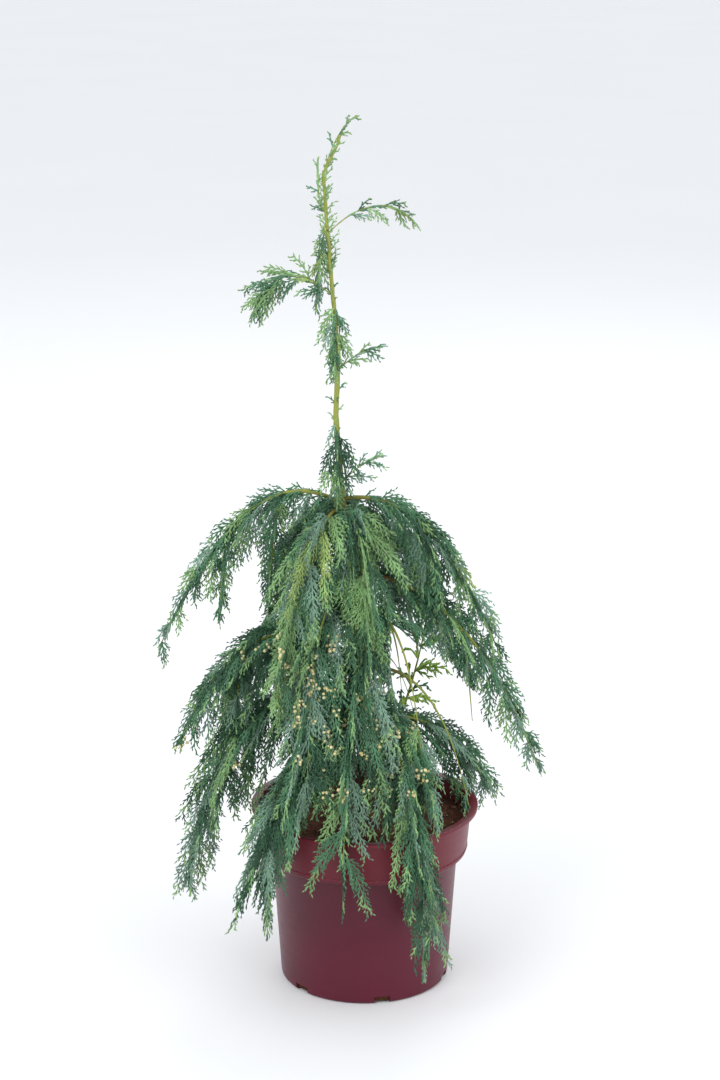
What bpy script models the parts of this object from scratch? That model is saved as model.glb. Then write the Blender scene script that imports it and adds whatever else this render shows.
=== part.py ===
"""Weeping nootka cypress in a round nursery pot, 0.72 m tall. Metres, +Z up.

The origin is the centre of the pot's flat underside. -Y is the front of the plant.
Every limb is one arc from its foot on the trunk, over a shoulder, to a hanging tip. Its bare
part is a bough and the rest runs inside a mass of foliage, so both come from the same sizes.
"""
import math
import random
from collections import namedtuple

import bmesh
import bpy
from mathutils import Matrix, Vector

# Clearance between solids that touch on the real plant, and what a cutter adds to keep it
GAP = 0.0003
CUTTER_GROWTH = 0.0005
TIP_GROWTH = 3

# Pot, turned about Z
POT_STEPS = 40
POT_HEIGHT = 0.151
POT_WALL = 0.0012
POT_FLOOR = 0.0016
FOOT_RADIUS = 0.0702
FOOT_ROUNDING = 0.0016
BODY_TOP_RADIUS = 0.0777
COLLAR_HEIGHT = 0.0385
COLLAR_FOOT_RADIUS = 0.0855
COLLAR_TOP_RADIUS = 0.0890
LIP_RADIUS = 0.0945
LIP_THICKNESS = 0.0028
DRAIN_SLOTS = 6
DRAIN_SLOT_WIDTH = 0.013
DRAIN_SLOT_HEIGHT = 0.006
DRAIN_SLOT_DEPTH = 0.012
FIRST_DRAIN_SLOT = 222

# Potting soil, which fills the pot to just under the lip
SOIL_TOP = 0.135
SOIL_CROWN = 0.0035

# Trunk: height, sideways place and radius, from the flare at the soil to the tip of the leader
TrunkPoint = namedtuple("TrunkPoint", "height across radius")
TRUNK = (
    TrunkPoint(SOIL_TOP + SOIL_CROWN + GAP, 0.0000, 0.0092),
    TrunkPoint(0.1450, 0.0004, 0.0066),
    TrunkPoint(0.1580, 0.0012, 0.0062),
    TrunkPoint(0.1680, 0.0010, 0.0066),
    TrunkPoint(0.1850, -0.0010, 0.0051),
    TrunkPoint(0.2400, -0.0050, 0.0046),
    TrunkPoint(0.3100, -0.0080, 0.0041),
    TrunkPoint(0.3700, -0.0135, 0.0036),
    TrunkPoint(0.4120, -0.0185, 0.0030),
    TrunkPoint(0.4820, -0.0232, 0.0022),
    TrunkPoint(0.5290, -0.0210, 0.0019),
    TrunkPoint(0.5900, -0.0262, 0.0016),
    TrunkPoint(0.6450, -0.0305, 0.0013),
    TrunkPoint(0.6750, -0.0325, 0.0011),
    TrunkPoint(0.6950, -0.0225, 0.0009),
    TrunkPoint(0.7120, -0.0160, 0.0006),
)
TRUNK_SIDES = 8

# Limbs: foot is a height on the trunk and heading is degrees from +X towards +Y. The shoulder
# and the tip lie shoulder and reach out from the trunk, rise above and fall below the foot.
# swing bows the arc sideways. bare is the share of the arc before the mass starts, and no
# bough is made where it is zero. wide is the mass's half width, and deep is how far it hangs.
Limb = namedtuple("Limb", "name foot heading shoulder rise reach fall swing radius bare wide deep")
SHOULDER_SHARE = 0.45
CROWN = (
    Limb("upper_left", 0.408, 187, 0.068, 0.004, 0.150, 0.115, 0.006, 0.0024, 0.24, 0.019, 0.030),
    Limb("upper_right", 0.412, 352, 0.062, -0.014, 0.130, 0.126, -0.005, 0.0024, 0.22, 0.020, 0.028),
    Limb("upper_front_left", 0.404, 236, 0.050, -0.018, 0.094, 0.142, 0.006, 0.0021, 0.20, 0.028, 0.020),
    Limb("upper_front", 0.396, 284, 0.040, -0.014, 0.070, 0.150, 0.004, 0.0020, 0.20, 0.025, 0.018),
    Limb("upper_rear", 0.400, 84, 0.058, -0.010, 0.122, 0.125, 0.006, 0.0022, 0.24, 0.028, 0.028),
    Limb("upper_rear_left", 0.388, 124, 0.060, -0.006, 0.126, 0.128, -0.006, 0.0022, 0.24, 0.026, 0.028),
    Limb("upper_rear_right", 0.380, 44, 0.062, -0.012, 0.126, 0.130, 0.006, 0.0022, 0.24, 0.026, 0.028),
    Limb("middle_right", 0.352, 349, 0.080, -0.034, 0.157, 0.158, 0.006, 0.0026, 0.20, 0.024, 0.034),
    Limb("middle_front_left", 0.332, 248, 0.052, -0.006, 0.096, 0.132, -0.004, 0.0021, 0.20, 0.027, 0.022),
    Limb("middle_front_right", 0.320, 306, 0.052, -0.010, 0.096, 0.130, 0.005, 0.0021, 0.20, 0.025, 0.022),
    Limb("middle_left", 0.276, 191, 0.074, 0.026, 0.146, 0.060, 0.005, 0.0025, 0.22, 0.026, 0.030),
    Limb("middle_rear_left", 0.300, 146, 0.068, 0.000, 0.136, 0.116, 0.006, 0.0023, 0.24, 0.028, 0.028),
    Limb("middle_rear_right", 0.292, 72, 0.068, -0.004, 0.134, 0.118, -0.006, 0.0023, 0.24, 0.028, 0.028),
    Limb("lower_right", 0.268, 331, 0.056, -0.008, 0.104, 0.100, 0.004, 0.0022, 0.22, 0.024, 0.022),
    Limb("lower_front", 0.280, 264, 0.050, 0.000, 0.104, 0.144, 0.004, 0.0022, 0.24, 0.025, 0.014),
    Limb("lower_front_right", 0.248, 298, 0.067, -0.014, 0.122, 0.175, -0.004, 0.0023, 0.26, 0.024, 0.016),
    Limb("lower_front_left", 0.218, 227, 0.070, -0.012, 0.122, 0.098, 0.004, 0.0021, 0.24, 0.030, 0.014),
    Limb("lower_left", 0.240, 192, 0.084, -0.008, 0.146, 0.148, -0.005, 0.0024, 0.22, 0.025, 0.034),
    Limb("lower_rear_right", 0.226, 18, 0.062, -0.014, 0.114, 0.070, 0.005, 0.0021, 0.24, 0.023, 0.017),
    Limb("lower_rear", 0.228, 112, 0.068, -0.010, 0.126, 0.104, 0.006, 0.0022, 0.26, 0.030, 0.018),
    Limb("rootstock", 0.152, 34, 0.046, 0.085, 0.066, -0.186, 0.004, 0.0021, 0.30, 0.020, 0.011),
)
LEADER = (
    Limb("leader_top", 0.676, 4, 0.010, 0.026, 0.026, -0.044, 0.000, 0.0, 0.0, 0.008, 0.007),
    Limb("leader_upper_left", 0.644, 190, 0.005, 0.012, 0.006, -0.044, 0.000, 0.0, 0.0, 0.007, 0.005),
    Limb("leader_right", 0.628, 356, 0.034, 0.022, 0.070, -0.008, -0.002, 0.0, 0.0, 0.011, 0.008),
    Limb("leader_side", 0.640, 205, 0.005, -0.030, 0.009, 0.072, 0.000, 0.0, 0.0, 0.006, 0.004),
    Limb("leader_left", 0.578, 188, 0.034, 0.018, 0.064, 0.014, 0.004, 0.0, 0.0, 0.014, 0.016),
    Limb("leader_front", 0.576, 272, 0.012, -0.020, 0.016, 0.062, 0.002, 0.0, 0.0, 0.012, 0.006),
    Limb("leader_lower_right", 0.518, 350, 0.016, 0.014, 0.034, -0.020, 0.003, 0.0, 0.0, 0.009, 0.008),
    Limb("neck", 0.478, 268, 0.010, -0.024, 0.014, 0.080, 0.002, 0.0, 0.0, 0.010, 0.006),
    Limb("neck_right", 0.425, 340, 0.014, 0.014, 0.034, -0.026, 0.002, 0.0, 0.0, 0.010, 0.008),
)

# Cross-sections of a mass: its share of full size where it starts, the place of its full size
# and its share of full size at its last ring. Its crest is a share of its half width.
Swelling = namedtuple("Swelling", "start peak end")
MASS_WIDTH = Swelling(0.34, 0.45, 0.34)
MASS_DEPTH = Swelling(0.24, 0.34, 0.26)
MASS_CREST = 0.42
MASS_SIDES = 8
MASS_RINGS = 9

# Unevenness of a mass: how far each corner strays, and how its sprays lobe it along its way
MASS_STRAY = 0.24
MASS_LOBE = 0.20
MASS_LOBE_TURNS = 2.6

# A bough keeps this share of its radius where it enters its mass
BOUGH_TAPER = 0.62
BOUGH_SIDES = 6
BOUGH_RINGS = 5

# Hanging bunches: along is a share of the limb's arc, and lean is how far the tip swings outwards
Pendant = namedtuple("Pendant", "name limb along length wide thick lean")
PENDANTS = (
    Pendant("upper_left_inner", "upper_left", 0.34, 0.096, 0.015, 0.012, 0.010),
    Pendant("upper_left_outer", "upper_left", 0.62, 0.076, 0.012, 0.010, 0.008),
    Pendant("upper_right", "upper_right", 0.50, 0.070, 0.014, 0.011, 0.004),
    Pendant("middle_right", "middle_right", 0.52, 0.080, 0.016, 0.012, 0.010),
    Pendant("middle_left", "middle_left", 0.60, 0.070, 0.014, 0.012, 0.006),
)
PENDANT_WIDTH = Swelling(0.35, 0.35, 0.30)
PENDANT_SIDES = 7
PENDANT_RINGS = 6

# Colour and roughness of each kind of piece
FINISHES = {
    "pot": ((0.150, 0.028, 0.062), 0.38),
    "soil": ((0.085, 0.040, 0.028), 0.95),
    "bark": ((0.120, 0.065, 0.040), 0.85),
    "foliage": ((0.060, 0.150, 0.115), 0.70),
    "rootstock_foliage": ((0.180, 0.260, 0.060), 0.70),
}


def clear_scene():
    """Remove the objects of the startup scene."""
    for obj in list(bpy.data.objects):
        bpy.data.objects.remove(obj)


def finish_material(kind):
    """Make or find the plain material of one kind of piece."""
    if kind in bpy.data.materials:
        return bpy.data.materials[kind]
    colour, roughness = FINISHES[kind]
    material = bpy.data.materials.new(kind)
    material.use_nodes = True
    shader = material.node_tree.nodes["Principled BSDF"]
    shader.inputs["Base Color"].default_value = (*colour, 1.0)
    shader.inputs["Roughness"].default_value = roughness
    return material


def add_object(name, bm, kind):
    """Turn a bmesh into a named object with its material."""
    mesh = bpy.data.meshes.new(name)
    bm.to_mesh(mesh)
    bm.free()
    mesh.materials.append(finish_material(kind))
    obj = bpy.data.objects.new(name, mesh)
    bpy.context.collection.objects.link(obj)
    return obj


def loft(rings, tip=None):
    """Extrude the first ring through the others, and draw the last one in to a tip.

    The diagonals are fixed, so a solid and its grown copy have the same facets.
    """
    bm = bmesh.new()
    first = face = bm.faces.new([bm.verts.new(point) for point in rings[0]])
    for ring in rings[1:]:
        grown = bmesh.ops.extrude_face_region(bm, geom=[face])["geom"]
        if face is not first:
            bmesh.ops.delete(bm, geom=[face], context="FACES_ONLY")
        face = next(item for item in grown if isinstance(item, bmesh.types.BMFace))
        for vert, point in zip(face.verts, ring):
            vert.co = point
    if tip is not None:
        bmesh.ops.pointmerge(bm, verts=list(face.verts), merge_co=tip)
    bmesh.ops.recalc_face_normals(bm, faces=bm.faces)
    bmesh.ops.triangulate(bm, faces=bm.faces, quad_method="FIXED")
    return bm


def keep_largest_island(bm):
    """Delete every separate scrap of a cut mesh but the one that fills the largest box."""
    unseen, islands = set(bm.verts), []
    while unseen:
        island, front = set(), [unseen.pop()]
        while front:
            vert = front.pop()
            island.add(vert)
            for edge in vert.link_edges:
                other = edge.other_vert(vert)
                if other in unseen:
                    unseen.remove(other)
                    front.append(other)
        islands.append(island)

    def spread(island):
        corners = [vert.co for vert in island]
        sides = [max(c[i] for c in corners) - min(c[i] for c in corners) for i in range(3)]
        return sides[0] * sides[1] * sides[2]

    largest = max(islands, key=spread)
    scraps = [vert for island in islands if island is not largest for vert in island]
    bmesh.ops.delete(bm, geom=scraps, context="VERTS")


def boxes_meet(one, other):
    """Tell whether the bounding boxes of two objects overlap."""
    spans = []
    for obj in (one, other):
        corners = [vert.co for vert in obj.data.vertices]
        spans.append([(min(c[i] for c in corners), max(c[i] for c in corners)) for i in range(3)])
    return all(a[0] <= b[1] and b[0] <= a[1] for a, b in zip(*spans))


def cut(obj, cutters):
    """Cut the grown neighbours out of a solid and keep its largest part."""
    near = [cutter for cutter in cutters if boxes_meet(obj, cutter)]
    for cutter in near:
        modifier = obj.modifiers.new("clear_" + cutter.name, "BOOLEAN")
        modifier.operation = "DIFFERENCE"
        modifier.solver = "EXACT"
        modifier.object = cutter
    if not near:
        return
    graph = bpy.context.evaluated_depsgraph_get()
    shape = bpy.data.meshes.new_from_object(obj.evaluated_get(graph))
    obj.modifiers.clear()
    bm = bmesh.new()
    bm.from_mesh(shape)
    bmesh.ops.triangulate(bm, faces=bm.faces)
    keep_largest_island(bm)
    bm.to_mesh(obj.data)
    bm.free()


def add_cutter(name, bm):
    """Make the grown copy of a solid that its neighbours are cut back from."""
    cutter = add_object("cutter_" + name, bm, "bark")
    cutter.hide_render = True
    cutter.display_type = "WIRE"
    return cutter


def turned(profile):
    """Spin a closed outline of (radius, height) points about Z into a solid."""
    bm = bmesh.new()
    verts = [bm.verts.new((radius, 0.0, height)) for radius, height in profile]
    edges = [bm.edges.new((a, b)) for a, b in zip(verts, verts[1:])]
    bmesh.ops.spin(bm, geom=verts + edges, cent=(0, 0, 0), axis=(0, 0, 1),
                   angle=math.tau, steps=POT_STEPS, use_merge=True)
    bmesh.ops.remove_doubles(bm, verts=bm.verts, dist=1e-6)
    bmesh.ops.dissolve_degenerate(bm, dist=1e-6, edges=bm.edges)
    bmesh.ops.recalc_face_normals(bm, faces=bm.faces)
    return bm


def add_pot():
    """Turn the stepped pot with its lip, and cut the drain slots through its foot."""
    ledge = POT_HEIGHT - COLLAR_HEIGHT
    outline = (
        (0.0, 0.0), (FOOT_RADIUS - FOOT_ROUNDING, 0.0), (FOOT_RADIUS, FOOT_ROUNDING),
        (BODY_TOP_RADIUS, ledge - POT_WALL), (COLLAR_FOOT_RADIUS - POT_WALL, ledge - POT_WALL),
        (COLLAR_FOOT_RADIUS, ledge), (COLLAR_TOP_RADIUS, POT_HEIGHT - LIP_THICKNESS),
        (LIP_RADIUS, POT_HEIGHT - LIP_THICKNESS), (LIP_RADIUS, POT_HEIGHT),
        (COLLAR_TOP_RADIUS - POT_WALL, POT_HEIGHT), (COLLAR_FOOT_RADIUS - POT_WALL, ledge),
        (BODY_TOP_RADIUS - POT_WALL, ledge), (FOOT_RADIUS - POT_WALL, POT_FLOOR), (0.0, POT_FLOOR),
    )
    bm = turned(outline)
    bmesh.ops.triangulate(bm, faces=bm.faces)
    pot = add_object("pot", bm, "pot")
    cutters = []
    for slot in range(DRAIN_SLOTS):
        angle = math.radians(FIRST_DRAIN_SLOT) + slot * math.tau / DRAIN_SLOTS
        box = bmesh.new()
        bmesh.ops.create_cube(box, size=1.0)
        bmesh.ops.scale(box, vec=(2 * DRAIN_SLOT_DEPTH, DRAIN_SLOT_WIDTH, 2 * DRAIN_SLOT_HEIGHT),
                        verts=box.verts)
        bmesh.ops.translate(box, vec=(FOOT_RADIUS, 0.0, 0.0), verts=box.verts)
        bmesh.ops.rotate(box, cent=(0, 0, 0), matrix=Matrix.Rotation(angle, 3, "Z"), verts=box.verts)
        cutters.append(add_cutter(f"drain_{slot + 1}", box))
    cut(pot, cutters)
    for cutter in cutters:
        bpy.data.objects.remove(cutter)


def add_soil():
    """Turn the soil, which follows the pot's inside and crowns towards the trunk."""
    ledge = POT_HEIGHT - COLLAR_HEIGHT
    gap = POT_WALL + GAP
    share = (SOIL_TOP - ledge) / COLLAR_HEIGHT
    rim = COLLAR_FOOT_RADIUS + share * (COLLAR_TOP_RADIUS - COLLAR_FOOT_RADIUS)
    trunk_seat = 2 * TRUNK[0].radius
    outline = (
        (0.0, POT_FLOOR + GAP), (FOOT_RADIUS - gap, POT_FLOOR + GAP),
        (BODY_TOP_RADIUS - gap, ledge + GAP), (COLLAR_FOOT_RADIUS - gap, ledge + GAP),
        (rim - gap, SOIL_TOP), (trunk_seat, SOIL_TOP + SOIL_CROWN), (0.0, SOIL_TOP + SOIL_CROWN),
    )
    bm = turned(outline)
    bmesh.ops.triangulate(bm, faces=bm.faces)
    add_object("soil", bm, "soil")


def add_pot_clearance():
    """Make the cutter that keeps foliage clear of the pot's outside, its lip and the soil."""
    grow = CUTTER_GROWTH
    ledge = POT_HEIGHT - COLLAR_HEIGHT
    inside = COLLAR_FOOT_RADIUS - POT_WALL - grow
    outline = (
        (0.0, -grow), (FOOT_RADIUS + grow, -grow), (BODY_TOP_RADIUS + grow, ledge - POT_WALL - grow),
        (COLLAR_FOOT_RADIUS + grow, ledge - POT_WALL - grow),
        (COLLAR_TOP_RADIUS + grow, POT_HEIGHT - LIP_THICKNESS - grow),
        (LIP_RADIUS + grow, POT_HEIGHT - LIP_THICKNESS - grow), (LIP_RADIUS + grow, POT_HEIGHT + grow),
        (inside, POT_HEIGHT + grow), (inside, SOIL_TOP + grow), (0.0, SOIL_TOP + SOIL_CROWN + grow),
    )
    return add_cutter("pot", turned(outline))


def trunk_centre(height):
    """Give the middle of the trunk at a height."""
    for low, high in zip(TRUNK, TRUNK[1:]):
        if height <= high.height:
            break
    share = (height - low.height) / (high.height - low.height)
    return Vector((low.across + share * (high.across - low.across), 0.0, height))


def circle_points(centre, side, up, wide, high, sides, low=None):
    """Give a ring of points round a centre: wide to each side, high above it and low below it."""
    low = high if low is None else low
    points = []
    for corner in range(sides):
        angle = math.tau * corner / sides
        lift = math.sin(angle)
        points.append(centre + side * (wide * math.cos(angle)) + up * (lift * (high if lift > 0 else low)))
    return points


def trunk_mesh(growth=0.0):
    """Loft the trunk from its flat cut at the soil to the tip of the leader."""
    rings = []
    for point in TRUNK:
        radius = point.radius + growth
        centre = Vector((point.across, 0.0, point.height))
        rings.append(circle_points(centre, Vector((1, 0, 0)), Vector((0, 1, 0)),
                                   radius, radius, TRUNK_SIDES))
    for point in rings[-1]:
        point.z += growth
    return loft(rings)


def limb_at(limb, along):
    """Give the point and the direction of a limb's arc at a share of its way."""
    foot = trunk_centre(limb.foot)
    heading = Vector((math.cos(math.radians(limb.heading)), math.sin(math.radians(limb.heading)), 0))
    side = Vector((-heading.y, heading.x, 0))
    shoulder = foot + heading * limb.shoulder + Vector((0, 0, limb.rise))
    tip = foot + heading * limb.reach - Vector((0, 0, limb.fall))
    near, far = (1 - SHOULDER_SHARE) ** 2, SHOULDER_SHARE ** 2
    bend = (shoulder - foot * near - tip * far) / (2 * SHOULDER_SHARE * (1 - SHOULDER_SHARE))
    back = 1 - along
    point = foot * back ** 2 + bend * (2 * along * back) + tip * along ** 2
    point += side * limb.swing * math.sin(math.pi * along)
    ahead = ((bend - foot) * back + (tip - bend) * along).normalized()
    return point, ahead, side


def bough_mesh(limb, growth=0.0):
    """Loft the bare part of a limb, tapering from the trunk to where its mass starts."""
    rings = []
    for ring in range(BOUGH_RINGS):
        share = ring / (BOUGH_RINGS - 1)
        point, ahead, side = limb_at(limb, limb.bare * share)
        radius = limb.radius * (1 - (1 - BOUGH_TAPER) * share) + growth
        rings.append(circle_points(point, side, side.cross(ahead), radius, radius, BOUGH_SIDES))
    return loft(rings)


def swell(share, start, peak, end):
    """Rise from start to 1 at the peak's place and fall to end, as a mass widens and narrows."""
    if share < peak:
        return start + (1 - start) * math.sin(math.pi / 2 * share / peak)
    return end + (1 - end) * math.cos(math.pi / 2 * (share - peak) / (1 - peak))


def mass_mesh(limb, growth=0.0):
    """Loft the foliage round the hidden part of a limb, deep under its shoulder, thin at its tip."""
    dice = random.Random(limb.name)
    start = limb.bare + (GAP / limb.reach if limb.bare else 0.0)
    wide_phase, deep_phase = dice.uniform(0, math.tau), dice.uniform(0, math.tau)
    rings = []
    for ring in range(MASS_RINGS):
        share = ring / MASS_RINGS
        point, ahead, side = limb_at(limb, start + (1 - start) * share)
        square = ahead.cross(side)
        up = (square + Vector((0, 0, 1))).normalized()
        turn = math.tau * MASS_LOBE_TURNS * share
        wide = limb.wide * swell(share, *MASS_WIDTH) * (1 + MASS_LOBE * math.sin(wide_phase + turn))
        deep = limb.deep * swell(share, *MASS_DEPTH) * (1 + MASS_LOBE * math.sin(deep_phase + turn))
        points = circle_points(Vector((0, 0, 0)), side, up, wide, MASS_CREST * wide, MASS_SIDES, low=deep)
        rings.append([point + offset * dice.uniform(1 - MASS_STRAY, 1 + MASS_STRAY)
                      + offset.normalized() * growth for offset in points])
    tip, ahead, _ = limb_at(limb, 1.0)
    return loft(rings, tip=tip + ahead * (TIP_GROWTH * growth))


def pendant_mesh(pendant, growth=0.0):
    """Loft a bunch that hangs from a limb, widest a third of the way down."""
    dice = random.Random(pendant.name)
    limb = next(limb for limb in CROWN if limb.name == pendant.limb)
    root, _, side = limb_at(limb, pendant.along)
    outward = Vector((side.y, -side.x, 0))
    rings = []
    for ring in range(PENDANT_RINGS):
        share = ring / PENDANT_RINGS
        centre = root - Vector((0, 0, pendant.length * share)) + outward * (pendant.lean * share)
        width = swell(share, *PENDANT_WIDTH)
        points = circle_points(Vector((0, 0, 0)), side, outward, pendant.wide * width,
                               pendant.thick * width, PENDANT_SIDES)
        rings.append([centre + offset * dice.uniform(1 - MASS_STRAY, 1 + MASS_STRAY)
                      + offset.normalized() * growth for offset in points])
    tip = root - Vector((0, 0, pendant.length + TIP_GROWTH * growth)) + outward * pendant.lean
    return loft(rings, tip=tip)


def add_plant():
    """Make the trunk, then each bough, mass and bunch, cut back from all that stand before it."""
    add_object("trunk", trunk_mesh(), "bark")
    cutters = [add_cutter("trunk", trunk_mesh(CUTTER_GROWTH)), add_pot_clearance()]
    for limb in CROWN:
        bough = add_object("bough_" + limb.name, bough_mesh(limb), "bark")
        cut(bough, cutters[:1])
    for limb in CROWN:
        cutters.append(add_cutter("bough_" + limb.name, bough_mesh(limb, CUTTER_GROWTH)))
    for limb in CROWN + LEADER:
        kind = "rootstock_foliage" if limb.name == "rootstock" else "foliage"
        mass = add_object("foliage_" + limb.name, mass_mesh(limb), kind)
        cut(mass, cutters)
        cutters.append(add_cutter("foliage_" + limb.name, mass_mesh(limb, CUTTER_GROWTH)))
    for pendant in PENDANTS:
        bunch = add_object("pendant_" + pendant.name, pendant_mesh(pendant), "foliage")
        cut(bunch, cutters)
        cutters.append(add_cutter("pendant_" + pendant.name, pendant_mesh(pendant, CUTTER_GROWTH)))
    for cutter in cutters:
        bpy.data.objects.remove(cutter)


clear_scene()
add_pot()
add_soil()
add_plant()
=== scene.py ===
"""Weeping nootka cypress in a plum nursery pot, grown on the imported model. Metres, +Z up.

Every limb of the model is one arc. The boughs follow the same arcs here, and the foliage
branches on from them by a seeded rule: sprays, then twigs, then scaly twiglets.
"""
import math
import random
from collections import namedtuple

import bmesh
import bpy
import numpy as np
from bpy.props import (FloatProperty, FloatVectorProperty, IntProperty, PointerProperty)
from bpy.types import Operator, Panel, PropertyGroup
from mathutils import Euler, Matrix, Vector, noise


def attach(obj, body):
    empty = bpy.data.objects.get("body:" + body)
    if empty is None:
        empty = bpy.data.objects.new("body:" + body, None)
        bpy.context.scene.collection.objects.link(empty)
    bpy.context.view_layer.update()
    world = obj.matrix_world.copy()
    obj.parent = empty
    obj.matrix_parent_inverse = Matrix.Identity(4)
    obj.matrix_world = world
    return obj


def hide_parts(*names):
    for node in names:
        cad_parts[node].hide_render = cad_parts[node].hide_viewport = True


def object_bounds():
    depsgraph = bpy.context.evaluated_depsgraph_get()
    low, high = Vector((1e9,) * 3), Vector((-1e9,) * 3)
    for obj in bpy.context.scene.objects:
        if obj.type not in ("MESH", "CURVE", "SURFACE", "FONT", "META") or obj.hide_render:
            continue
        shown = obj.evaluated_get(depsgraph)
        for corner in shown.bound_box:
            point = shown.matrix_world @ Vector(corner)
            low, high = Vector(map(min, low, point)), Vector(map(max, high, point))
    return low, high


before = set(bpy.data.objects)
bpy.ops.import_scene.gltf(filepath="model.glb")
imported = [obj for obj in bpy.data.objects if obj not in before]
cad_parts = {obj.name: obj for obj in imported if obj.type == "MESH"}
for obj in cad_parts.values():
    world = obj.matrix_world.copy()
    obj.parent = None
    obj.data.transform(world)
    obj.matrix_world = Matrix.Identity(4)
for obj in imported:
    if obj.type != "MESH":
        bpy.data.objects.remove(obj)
CAD_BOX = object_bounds()

bl_info = {
    "name": "Potted weeping cypress",
    "version": (1, 0, 0),
    "blender": (4, 5, 0),
    "location": "View3D > Sidebar > Cypress",
    "description": "Grows a weeping cypress in a nursery pot on its packed model",
    "category": "Object",
}

# Pot, the same sizes as the model's
POT_HEIGHT = 0.151
POT_WALL = 0.0012
POT_FLOOR = 0.0016
FOOT_RADIUS = 0.0702
BODY_TOP_RADIUS = 0.0777
COLLAR_HEIGHT = 0.0385
COLLAR_FOOT_RADIUS = 0.0855
COLLAR_TOP_RADIUS = 0.0890
LIP_RADIUS = 0.0945
LIP_THICKNESS = 0.0028
LEDGE = POT_HEIGHT - COLLAR_HEIGHT
FOOT_ROUNDING = 0.0016
DRAIN_SLOTS = 6
FIRST_DRAIN_SLOT = 222
DRAIN_SLOT = Vector((0.024, 0.013, 0.012))
SOIL_TOP = 0.135
SOIL_CROWN = 0.0035

# Two more rings than the model has, inside the foot's edge and above the slots, bound the slots'
# cuts. Level edges that lie further out than ROUNDED_FROM and turn by more than SHARP_EDGE, in
# radians, are rounded. Small dashes stand along the foot of the collar, lighter than it by a painted
# highlight.
POT_STEPS = 144
FOOT_RING = 0.0130
ABOVE_SLOTS = DRAIN_SLOT.z / 2 + 0.001
ROUNDED_FROM = 0.06
SHARP_EDGE = 0.5
EDGE_ROUNDING = 0.00045
DASH = (0.0008, 0.0030, 0.0009)
DASH_PLACE = (COLLAR_FOOT_RADIUS + 0.0003, 0, LEDGE + 0.0030)

# Plastic: how far below and above the ledge the collar's colour takes over, how fine the level
# scuffs are in X, Y and Z, and how much smoother and rougher than the setting they make it
COLLAR_EDGE = 0.004
SCUFF_SCALE = (60.0, 60.0, 900.0)
SCUFF_SMOOTHER, SCUFF_ROUGHER = 0.08, 0.14

# What lies loose on the soil: least and most size, how flat a lump is, how far its corners are
# pushed, how much it tips, in radians, and what share of its size lifts its middle off the soil
SOIL_SEED = 7
CHIP_SIZES = (0.0012, 0.0042)
CHIP_FLATNESS = (0.40, 0.30)
GRANULE_SIZES = (0.0009, 0.0015)
GRANULE_FLATNESS = (0.95, 0.95)
LUMP_CORNERS = (0.82, 1.18)
LUMP_TIP = 0.7
LUMP_LIFT = 0.2

# Lumps lie from round the trunk's foot, which takes TRUNK_SHARE of the area, out to SCATTER_EDGE
TRUNK_SHARE = 0.02
SCATTER_EDGE = COLLAR_FOOT_RADIUS - 0.004

# Trunk: height, sideways place and radius
TrunkPoint = namedtuple("TrunkPoint", "height across radius")
TRUNK = (
    TrunkPoint(0.1388, 0.0000, 0.0092),
    TrunkPoint(0.1450, 0.0004, 0.0066),
    TrunkPoint(0.1580, 0.0012, 0.0062),
    TrunkPoint(0.1680, 0.0010, 0.0066),
    TrunkPoint(0.1850, -0.0010, 0.0051),
    TrunkPoint(0.2400, -0.0050, 0.0046),
    TrunkPoint(0.3100, -0.0080, 0.0041),
    TrunkPoint(0.3700, -0.0135, 0.0036),
    TrunkPoint(0.4120, -0.0185, 0.0030),
    TrunkPoint(0.4820, -0.0232, 0.0022),
    TrunkPoint(0.5290, -0.0210, 0.0019),
    TrunkPoint(0.5900, -0.0262, 0.0016),
    TrunkPoint(0.6450, -0.0305, 0.0013),
    TrunkPoint(0.6750, -0.0325, 0.0011),
    TrunkPoint(0.6950, -0.0225, 0.0009),
    TrunkPoint(0.7120, -0.0160, 0.0006),
)

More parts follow.
